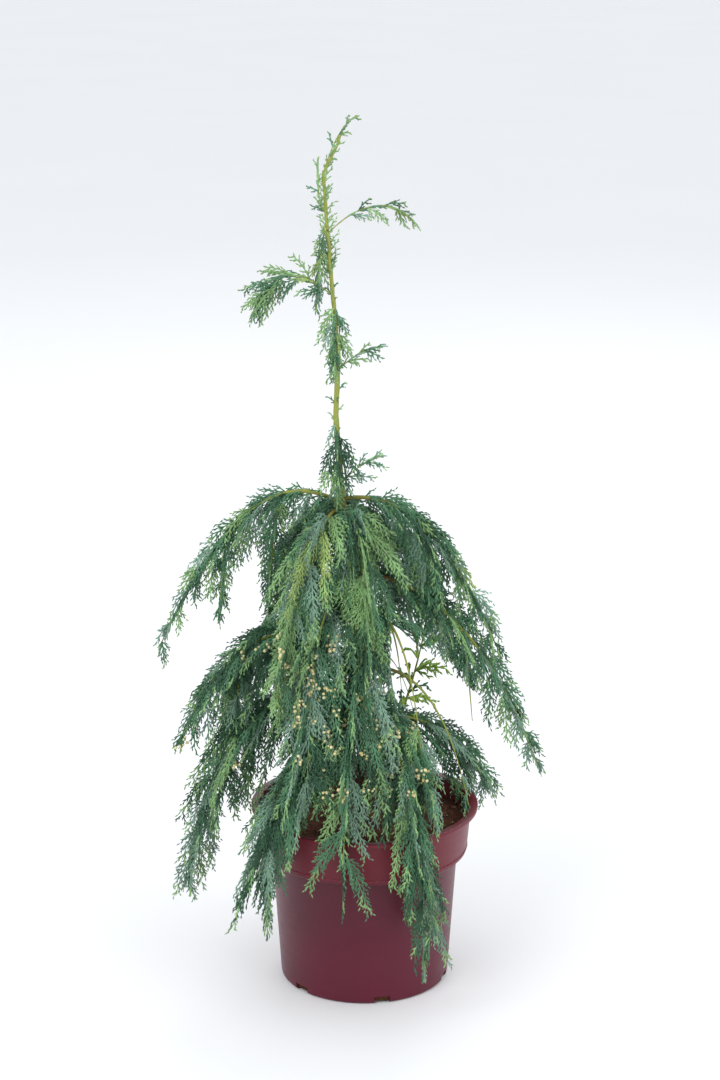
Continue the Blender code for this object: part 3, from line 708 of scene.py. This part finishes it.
class CYPRESS_OT_soil(Operator):
    """Finish the soil and scatter bark chips and pale granules over it"""
    bl_idname = "cypress.soil"
    bl_label = "Soil"

    def execute(self, context):
        choice = settings("soil")
        peat = make_material("peat", shaded(choice.colour, 0.55), shaded(choice.colour, 1.3),
                             roughness=0.92, patch=120.0, grain=700.0, bump=1.0, specular=0.2)
        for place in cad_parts["soil"].material_slots:
            place.material = peat
        brown = make_material("bark_chip", (0.060, 0.020, 0.010), (0.230, 0.085, 0.036),
                              roughness=0.8, patch=260.0, grain=1500.0, bump=0.7)
        pale = make_material("granule", (0.42, 0.33, 0.17), (0.62, 0.56, 0.40),
                             roughness=0.6, patch=300.0, grain=1500.0, bump=0.3)
        dice = random.Random(SOIL_SEED)
        self.scatter("bark_chips", choice.chips, brown, dice, CHIP_SIZES, CHIP_FLATNESS)
        self.scatter("soil_granules", choice.granules, pale, dice, GRANULE_SIZES, GRANULE_FLATNESS)
        return {"FINISHED"}

    def scatter(self, name, count, material, dice, sizes, flatness):
        """Drop uneven lumps on the soil, each turned its own way."""
        bm = bmesh.new()
        for _ in range(count):
            radius, angle = SCATTER_EDGE * math.sqrt(dice.uniform(TRUNK_SHARE, 1)), dice.uniform(0, math.tau)
            size = dice.uniform(*sizes)
            height = SOIL_TOP + SOIL_CROWN * max(0.0, 1 - radius / COLLAR_FOOT_RADIUS) + LUMP_LIFT * size
            made = bmesh.ops.create_icosphere(bm, subdivisions=1, radius=size / 2)["verts"]
            bmesh.ops.scale(bm, vec=(1.0, *flatness), verts=made)
            for vert in made:
                vert.co *= dice.uniform(*LUMP_CORNERS)
            turn = Euler((dice.uniform(-LUMP_TIP, LUMP_TIP), dice.uniform(-LUMP_TIP, LUMP_TIP),
                          dice.uniform(0, math.tau)))
            bmesh.ops.rotate(bm, cent=(0, 0, 0), matrix=turn.to_matrix(), verts=made)
            spot = (radius * math.cos(angle), radius * math.sin(angle), height)
            bmesh.ops.translate(bm, vec=spot, verts=made)
        add_piece(name, mesh_of(name, bm, material, smooth=False))


class CYPRESS_OT_wood(Operator):
    """Grow the trunk with bark relief, and every bough on to the tip of its limb"""
    bl_idname = "cypress.wood"
    bl_label = "Trunk and boughs"

    def execute(self, context):
        choice = settings("wood")
        bm = bmesh.new()
        heights = np.linspace(TRUNK[0].height, TRUNK[-1].height, TRUNK_RINGS)
        known = [point.height for point in TRUNK]
        radii = np.interp(heights, known, [point.radius for point in TRUNK])
        points = [trunk_centre(height) for height in heights]
        loft_tube(bm, points, radii, TRUNK_SIDES, choice.relief)
        bmesh.ops.recalc_face_normals(bm, faces=bm.faces)
        skin = self.skin(choice)
        add_piece("trunk_bark", mesh_of("trunk_bark", bm, skin), ["trunk"])
        bm = bmesh.new()
        for number, limb in enumerate(LIMBS + FILLER_LIMBS):
            shares = np.linspace(0.0, 1.0, BOUGH_RINGS)
            points = [limb_at(limb, share)[0] for share in shares]
            radii = [max(BOUGH_TIP, BOUGH_SLIMMING * limb.radius * (1 - share) ** BOUGH_TAPER)
                     for share in shares]
            loft_tube(bm, points, radii, BOUGH_SIDES, choice.relief * BOUGH_RELIEF, number)
        for pendant in PENDANTS:
            points = [Vector(point) for point in pendant_path(pendant, PENDANT_RINGS)]
            radii = [PENDANT_TAPER * (1 - share) + PENDANT_TIP for share in np.linspace(0, 1, PENDANT_RINGS)]
            loft_tube(bm, points, radii, PENDANT_SIDES)
        bmesh.ops.recalc_face_normals(bm, faces=bm.faces)
        replaced = ["bough_" + limb.name for limb in LIMBS if "bough_" + limb.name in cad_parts]
        add_piece("boughs_bark", mesh_of("boughs_bark", bm, skin), replaced)
        return {"FINISHED"}

    def skin(self, choice):
        """Make the bark, which turns to yellow-green young skin up the leader and out from the trunk."""
        material = make_material("bark", shaded(choice.bark, 0.55), shaded(choice.bark, 1.25),
                                 roughness=0.82, patch=160.0, grain=900.0, bump=0.9, specular=0.25)
        nodes, links = material.node_tree.nodes, material.node_tree.links
        place, split = nodes.new("ShaderNodeTexCoord"), nodes.new("ShaderNodeSeparateXYZ")
        flat, length = nodes.new("ShaderNodeVectorMath"), nodes.new("ShaderNodeVectorMath")
        flat.operation, length.operation = "MULTIPLY", "LENGTH"
        flat.inputs[1].default_value = (1.0, 1.0, 0.0)
        away = climb_between(nodes, YOUNG_OUT_FROM, YOUNG_OUT_TO)
        climb = climb_between(nodes, YOUNG_UP_FROM, YOUNG_UP_TO)
        most = nodes.new("ShaderNodeMath")
        most.operation = "MAXIMUM"
        links.new(place.outputs["Object"], split.inputs["Vector"])
        links.new(place.outputs["Object"], flat.inputs[0])
        links.new(flat.outputs["Vector"], length.inputs[0])
        links.new(length.outputs["Value"], away.inputs["Value"])
        links.new(split.outputs["Z"], climb.inputs["Value"])
        links.new(away.outputs["Result"], most.inputs[0])
        links.new(climb.outputs["Result"], most.inputs[1])
        links.new(most.outputs["Value"], second_colour(material, choice.young))
        return material


def pendant_path(pendant, count):
    """Give the points down the middle of a hanging bunch."""
    limb = next(limb for limb in LIMBS if limb.name == pendant.limb)
    root, _, side = limb_at(limb, pendant.along)
    outward = Vector((side.y, -side.x, 0))
    return np.array([root - Vector((0, 0, pendant.length * share))
                     + outward * (pendant.lean * share ** PENDANT_BEND)
                     for share in np.linspace(0, 1, count)])


def unit(vectors):
    """Scale an array of vectors to length one."""
    return vectors / np.maximum(np.linalg.norm(vectors, axis=-1, keepdims=True), 1e-9)


def branch_off(paths, normals, tones, spacing, length, growth, rng):
    """Grow alternate side shoots in the plane of each path, bending forward and down.

    paths is (n, p, 3), and length is per path. Gives the shoots' paths, plane normals and tones,
    and the share of the way along its path that each starts from.
    """
    reach = np.linalg.norm(np.diff(paths, axis=1), axis=2).sum(axis=1)
    counts = np.maximum(2, (reach / spacing).astype(int))
    owner = np.repeat(np.arange(len(paths)), counts)
    order = np.concatenate([np.arange(count) for count in counts])
    place = order + 0.5 + rng.uniform(-UNEVEN_PLACE, UNEVEN_PLACE, len(owner))
    share = np.clip(place / counts[owner], FIRST_SHOOT, LAST_SHOOT)
    steps = paths.shape[1] - 1
    low = np.minimum((share * steps).astype(int), steps - 1)
    part = (share * steps - low)[:, None]
    start, end = paths[owner, low], paths[owner, low + 1]
    base, ahead = start + (end - start) * part, unit(end - start)
    side = unit(np.cross(normals[owner], ahead)) * np.where(order % 2, 1.0, -1.0)[:, None]
    lean = np.radians(growth.angle + rng.normal(0, UNEVEN_ANGLE, len(owner)))[:, None]
    out = ahead * np.cos(lean) + side * np.sin(lean)
    out += normals[owner] * rng.normal(0, UNEVEN_LEAN, len(owner))[:, None]
    size = (length[owner] * (1 - growth.taper * share) * rng.uniform(*UNEVEN_LENGTH, len(owner)))[:, None]
    shares = np.linspace(0, 1, growth.points)[None, :, None]
    grown = base[:, None] + unit(out)[:, None] * (size[:, None] * shares)
    grown = grown + ahead[:, None] * (size[:, None] * FORWARD_BEND * shares ** 2)
    grown[:, :, 2] -= (size * growth.droop)[:, None, 0] * shares[:, :, 0] ** 2
    planes = unit(normals[owner] + rng.normal(0, UNEVEN_PLANE, (len(owner), 3)))
    return grown, planes, tones[owner], share


def tubes(paths, radii, sides, tones):
    """Give the vertices, triangles and tones of closed tubes, each ending in a point."""
    count, rings = paths.shape[0], paths.shape[1] - 1
    ahead = unit(np.gradient(paths, axis=1))
    guide = np.where(np.abs(ahead[:, :1, 2:]) > UPRIGHT, [[[1.0, 0.0, 0.0]]], [[[0.0, 0.0, 1.0]]])
    side = unit(np.cross(ahead, guide))
    up = np.cross(ahead, side)
    angles = np.arange(sides) * math.tau / sides
    around = (side[:, :rings, None] * np.cos(angles)[None, None, :, None]
              + up[:, :rings, None] * np.sin(angles)[None, None, :, None])
    rim = paths[:, :rings, None] + around * radii[:, :rings, None, None]
    verts = np.concatenate([rim.reshape(count, rings * sides, 3), paths[:, -1:]], axis=1)
    shape = []
    for ring in range(rings - 1):
        for corner in range(sides):
            after = (corner + 1) % sides
            here, there = ring * sides, (ring + 1) * sides
            shape.append((here + corner, here + after, there + after))
            shape.append((here + corner, there + after, there + corner))
    last = (rings - 1) * sides
    shape += [(last + corner, last + (corner + 1) % sides, rings * sides) for corner in range(sides)]
    shape += [(0, corner + 1, corner) for corner in range(1, sides - 1)]
    shape = np.array(shape)
    offsets = np.arange(count) * verts.shape[1]
    faces = (shape[None] + offsets[:, None, None]).reshape(-1, 3)
    return verts.reshape(-1, 3), faces, np.repeat(tones, len(shape))


def join_tubes(name, parts, materials):
    """Join arrays of tubes into one mesh with its materials dealt out."""
    offset, verts, faces, tones = 0, [], [], []
    for points, triangles, dealt in parts:
        verts.append(points)
        faces.append(triangles + offset)
        tones.append(dealt)
        offset += len(points)
    verts, faces, tones = np.concatenate(verts), np.concatenate(faces), np.concatenate(tones)
    mesh = bpy.data.meshes.new(name)
    mesh.vertices.add(len(verts))
    mesh.vertices.foreach_set("co", verts.astype(np.float32).ravel())
    mesh.loops.add(faces.size)
    mesh.loops.foreach_set("vertex_index", faces.astype(np.int32).ravel())
    mesh.polygons.add(len(faces))
    mesh.polygons.foreach_set("loop_start", np.arange(0, faces.size, 3, dtype=np.int32))
    for material in materials:
        mesh.materials.append(material)
    mesh.polygons.foreach_set("material_index", tones.astype(np.int32))
    mesh.update(calc_edges=True)
    return mesh


def tilted_deal(weights, share):
    """Give the chance of each tone at a share of the way along a limb."""
    # The darker tones weigh more near the trunk: painted shade inside the crown
    tilted = weights * np.array([start + change * share for start, change in TONE_TILTS])
    return tilted / tilted.sum()


def limb_sprays(path, normal, spread, shade, choice, rng, leader, thinning):
    """Grow the sprays of one limb: some to each side in its plane, some hanging below it.

    thinning is how much shorter the sprays are at the limb's tip than at its foot.
    """
    found = []
    spacing = choice.spray_spacing * (1.0 if leader else OPEN_SPACING)
    weights = np.array(DEALS[shade], float)
    below = np.cross(unit(path[-1] - path[0]), normal)
    for turned, droop in ((normal, SIDE_DROOP), (below, UNDER_DROOP)):
        growth = Growth(thinning, SPRAY_ANGLE, droop * (LEADER_DROOP if leader else 1.0), SPRAY_POINTS)
        paths, planes, _, share = branch_off(path[None], unit(turned)[None], np.zeros(1, int), spacing * 2,
                                             np.array([spread]), growth, rng)
        scale = np.clip(LENGTH_AT_FOOT + LENGTH_GAIN * share, 0, 1)[:, None, None]
        paths = paths[:, :1] + (paths - paths[:, :1]) * scale
        tones = np.array([rng.choice(len(TONES), p=tilted_deal(weights, part)) for part in share])
        found.append((paths, planes, tones))
    return [np.concatenate(arrays) for arrays in zip(*found)]


def within_box(paths, *others):
    """Leave out the shoots that would stand too far out of the model's box or reach the floor."""
    low, high = np.array(CAD_BOX[0]) - PROUD, np.array(CAD_BOX[1]) + (PROUD, PROUD, PROUD_ABOVE)
    low[2] = LOWEST_SHOOT
    kept = ((paths > low) & (paths < high)).all(axis=(1, 2))
    return [item[kept] for item in (paths, *others)]


def in_gap(paths):
    """Tell which points of the shoots lie in the gap."""
    across, seen = paths[:, :, 0], paths[:, :, 2] + SIGHT_SLOPE * paths[:, :, 1]
    along = across - GAP_LEFT
    inside = (along > 0) & (across < GAP_RIGHT)
    return inside & (seen < GAP_TOP - GAP_TOP_SLOPE * along) & (seen > GAP_FOOT - GAP_FOOT_SLOPE * along)


def outside_gap(paths, *others):
    """Leave out the shoots that would close the gap."""
    kept = ~in_gap(paths).any(axis=1)
    return [item[kept] for item in (paths, *others)]


def short_of_gap(paths, *others):
    """End each spray before the gap and leave out those that start in it."""
    inside, points = in_gap(paths), paths.shape[1]
    reach = np.where(inside.any(axis=1), inside.argmax(axis=1) - 1, points - 1)
    steps = np.linspace(0, 1, points)[None] * np.maximum(reach, 0)[:, None]
    before = np.minimum(steps.astype(int), points - 2)
    part = (steps - before)[:, :, None]
    rows = np.arange(len(paths))[:, None]
    shorter = paths[rows, before] * (1 - part) + paths[rows, before + 1] * part
    return [item[reach > 0] for item in (shorter, *others)]


def spray_parts(path, normal, spread, shade, choice, rng, leader=False, thinning=SLENDER_TAIL,
                fills_gap=False):
    """Grow one limb's foliage: sprays, twigs on them and twiglets on those.

    Gives the tubes of each kind, and the places of the twiglets' tips.
    """
    coarse = ROOTSTOCK_COARSENESS if shade == "rootstock" else 1.0
    thick = choice.thickness * coarse
    paths, planes, tones = limb_sprays(path, normal, spread, shade, choice, rng, leader, thinning)
    # The limb's own end grows on as a spray
    steps = np.linspace(len(path) * END_SPRAY_FROM, len(path) - 1, SPRAY_POINTS)
    end = np.array([path[int(step)] for step in steps])
    paths = np.concatenate([paths, end[None]])
    planes = np.concatenate([planes, unit(normal)[None]])
    tones = np.concatenate([tones, [tones[-1]]])
    paths, planes, tones = within_box(paths, planes, tones)
    if not fills_gap:
        paths, planes, tones = short_of_gap(paths, planes, tones)
    size = np.linalg.norm(np.diff(paths, axis=1), axis=2).sum(axis=1)
    twig_length = np.minimum(choice.twig_length * coarse, TWIG_SHARE * size)
    twigs, twig_planes, twig_tones, share = branch_off(paths, planes, tones, choice.twig_spacing * coarse,
                                                       twig_length, TWIG_GROWTH, rng)
    if not fills_gap:
        twigs, twig_planes, twig_tones, share = outside_gap(twigs, twig_planes, twig_tones, share)
    if shade != "rootstock":
        young = (share > YOUNG_FROM) & (rng.uniform(0, 1, len(share)) < YOUNG_CHANCE)
        twig_tones = np.where(young, TONES.index("light_green"), twig_tones)
    twigs, twig_planes, twig_tones = within_box(twigs, twig_planes, twig_tones)
    twig_size = np.linalg.norm(np.diff(twigs, axis=1), axis=2).sum(axis=1)
    tip_length = np.minimum(choice.twiglet_length * coarse, TWIGLET_SHARE * twig_size)
    tips, _, tip_tones, _ = branch_off(twigs, twig_planes, twig_tones, choice.twiglet_spacing * coarse,
                                       tip_length, TWIGLET_GROWTH, rng)
    tips, tip_tones = within_box(tips, tip_tones)
    if not fills_gap:
        tips, tip_tones = outside_gap(tips, tip_tones)
    parts = []
    for shoots, dealt, radius, sides in ((paths, tones, SPRAY_THICKNESS, SPRAY_SIDES),
                                         (twigs, twig_tones, 1.0, TWIG_SIDES),
                                         (tips, tip_tones, 1.0, TWIG_SIDES)):
        beads = np.array(BEADS)[:shoots.shape[1]]
        radii = np.ones(len(shoots))[:, None] * beads[None] * thick * radius
        parts.append(tubes(shoots, radii, sides, dealt))
    return parts, tips[:, -1]


class CYPRESS_OT_foliage(Operator):
    """Grow the sprays, twigs and scaly twiglets of every limb, joined into a few pieces"""
    bl_idname = "cypress.foliage"
    bl_label = "Foliage"

    def execute(self, context):
        choice = settings("foliage")
        materials = leaf_materials()
        limbs = {limb.name: limb for limb in LIMBS + FILLER_LIMBS}
        tips = []
        for group, names in LEAF_GROUPS.items():
            parts = []
            for name in names:
                limb = limbs[name]
                rng = np.random.default_rng(sum(map(ord, name)) * LIMB_SEED)
                path, normal = self.limb_path(limb)
                leader = name.startswith(("leader", "neck"))
                thinning = FULL_TAIL if name in CURTAIN_LIMBS else SLENDER_TAIL
                grown, ends = spray_parts(path, normal, limb.spread, limb.shade, choice, rng, leader,
                                          thinning, name in GAP_LIMBS)
                parts += grown
                if name in CONE_LIMBS:
                    tips.append(ends)
                for pendant in PENDANTS:
                    if pendant.limb == name:
                        hang = pendant_path(pendant, PENDANT_POINTS)
                        side = np.array(limb_at(limb, pendant.along)[2])
                        outward = np.array((side[1], -side[0], 0.0))
                        parts += spray_parts(hang, outward, pendant.spread, limb.shade, choice, rng)[0]
            if group == "leaves_leader":
                heights = np.linspace(*LEADER_STRANDS, STEM_POINTS)
                stem = np.array([trunk_centre(height) for height in heights])
                rng = np.random.default_rng(LEADER_SEED)
                parts += spray_parts(stem, np.array((0.0, 1.0, 0.0)), LEADER_SPREAD, "leader", choice,
                                     rng, leader=True)[0]
            replaced = ["foliage_" + name for name in names if "foliage_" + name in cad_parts]
            replaced += ["pendant_" + bunch.name for bunch in PENDANTS if bunch.limb in names]
            mesh = join_tubes(group, parts, materials)
            add_piece(group, mesh, replaced)
        self.add_cones(np.concatenate(tips), choice)
        return {"FINISHED"}

    def limb_path(self, limb):
        """Give the leafy part of a limb's arc and the direction square to it."""
        shares = np.linspace(limb.bare, 1.0, LIMB_POINTS)
        path = np.array([limb_at(limb, share)[0] for share in shares])
        _, ahead, side = limb_at(limb, 0.5)
        return path, np.array(ahead.cross(side))

    def add_cones(self, tips, choice):
        """Set clusters of pale cones on twiglets' tips in the front of the crown."""
        rng = np.random.default_rng(CONE_SEED)
        tips = tips[(tips[:, 2] > CONE_LOW) & (tips[:, 2] < CONE_HIGH) & (tips[:, 1] < CONE_FRONT)]
        middles = tips[rng.choice(len(tips), choice.cones // CLUSTER_CONES, replace=False)]
        apart = np.linalg.norm(tips[None] - middles[:, None], axis=2)
        nearest = np.argsort(apart, axis=1)[:, :CLUSTER_STRIDE * CLUSTER_CONES:CLUSTER_STRIDE]
        spots = tips[np.unique(nearest)]
        ahead = unit(rng.normal(0, 1, (len(spots), 3)) + np.array(CONE_LEAN))
        size = rng.uniform(*CONE_LENGTHS, len(spots))[:, None]
        paths = np.stack([spots + ahead * size * share for share in CONE_SHARES], axis=1)
        radii = np.array(CONE_PROFILE)[None] * size * CONE_WIDTH
        cream = make_material("cone", (0.54, 0.47, 0.20), (0.74, 0.67, 0.38),
                              roughness=0.6, patch=200.0, grain=1500.0, bump=0.3)
        parts = [tubes(paths, radii, CONE_SIDES, np.zeros(len(spots), int))]
        add_piece("cones", join_tubes("cones", parts, [cream]))


class CYPRESS_OT_stage(Operator):
    """Lay the pale floor, hang the soft lights and set the camera"""
    bl_idname = "cypress.stage"
    bl_label = "Stage"

    def execute(self, context):
        choice = settings("stage")
        bm = bmesh.new()
        bmesh.ops.create_circle(bm, cap_ends=True, segments=FLOOR_SIDES, radius=FLOOR_RADIUS)
        bmesh.ops.translate(bm, vec=(0, 0, FLOOR_HEIGHT), verts=bm.verts)
        white = make_material("floor", shaded(choice.floor, 0.99), choice.floor,
                              roughness=0.7, patch=2.0, grain=60.0, bump=0.0, specular=0.1)
        floor = bpy.data.objects.new("floor", mesh_of("floor", bm, white, smooth=False))
        context.scene.collection.objects.link(floor)
        world = bpy.data.worlds.new("studio")
        world.use_nodes = True
        back = world.node_tree.nodes["Background"]
        back.inputs["Color"].default_value = SKY_COLOUR
        back.inputs["Strength"].default_value = choice.sky
        context.scene.world = world
        for lamp in LAMPS:
            light = bpy.data.lights.new(lamp.name, "AREA")
            light.energy, light.size = choice.key * lamp.share, lamp.size
            holder = bpy.data.objects.new(lamp.name, light)
            holder.location = lamp.place
            holder.rotation_euler = (LAMPS_AIM - Vector(lamp.place)).to_track_quat("-Z", "Y").to_euler()
            context.scene.collection.objects.link(holder)
        lens = bpy.data.cameras.new("camera")
        lens.lens, lens.sensor_width, lens.sensor_fit = CAMERA_LENS, SENSOR_WIDTH, "AUTO"
        camera = bpy.data.objects.new("camera", lens)
        camera.location = CAMERA_PLACE
        camera.rotation_euler = (math.radians(90 - CAMERA_DOWN), 0.0, 0.0)
        context.scene.collection.objects.link(camera)
        context.scene.camera = camera
        context.scene.view_settings.view_transform = "Standard"
        return {"FINISHED"}


class CYPRESS_PT_panel(Panel):
    """Lists the plant's pieces and their settings"""
    bl_idname = "CYPRESS_PT_panel"
    bl_label = "Weeping cypress"
    bl_space_type = "VIEW_3D"
    bl_region_type = "UI"
    bl_category = "Cypress"

    def draw(self, context):
        for group, operator in PARTS:
            box = self.layout.box()
            box.operator(operator)
            for name in GROUPS[group].__annotations__:
                box.prop(settings(group), name)


GROUPS = {"pot": PotSettings, "soil": SoilSettings, "wood": WoodSettings,
          "foliage": FoliageSettings, "stage": StageSettings}
PARTS = (("pot", "cypress.pot"), ("soil", "cypress.soil"), ("wood", "cypress.wood"),
         ("foliage", "cypress.foliage"), ("stage", "cypress.stage"))
CLASSES = (*GROUPS.values(), CYPRESS_OT_pot, CYPRESS_OT_soil, CYPRESS_OT_wood,
           CYPRESS_OT_foliage, CYPRESS_OT_stage, CYPRESS_PT_panel)


def register():
    """Register the classes and hang each group of settings on the scene."""
    for item in CLASSES:
        bpy.utils.register_class(item)
    for name, group in GROUPS.items():
        setattr(bpy.types.Scene, "cypress_" + name, PointerProperty(type=group))


def unregister():
    """Take the settings off the scene and unregister the classes."""
    for name in GROUPS:
        delattr(bpy.types.Scene, "cypress_" + name)
    for item in reversed(CLASSES):
        bpy.utils.unregister_class(item)


def main():
    """Make every piece in order."""
    register()
    bpy.ops.cypress.pot()
    bpy.ops.cypress.soil()
    bpy.ops.cypress.wood()
    bpy.ops.cypress.foliage()
    bpy.ops.cypress.stage()


if __name__ == "__main__":
    main()
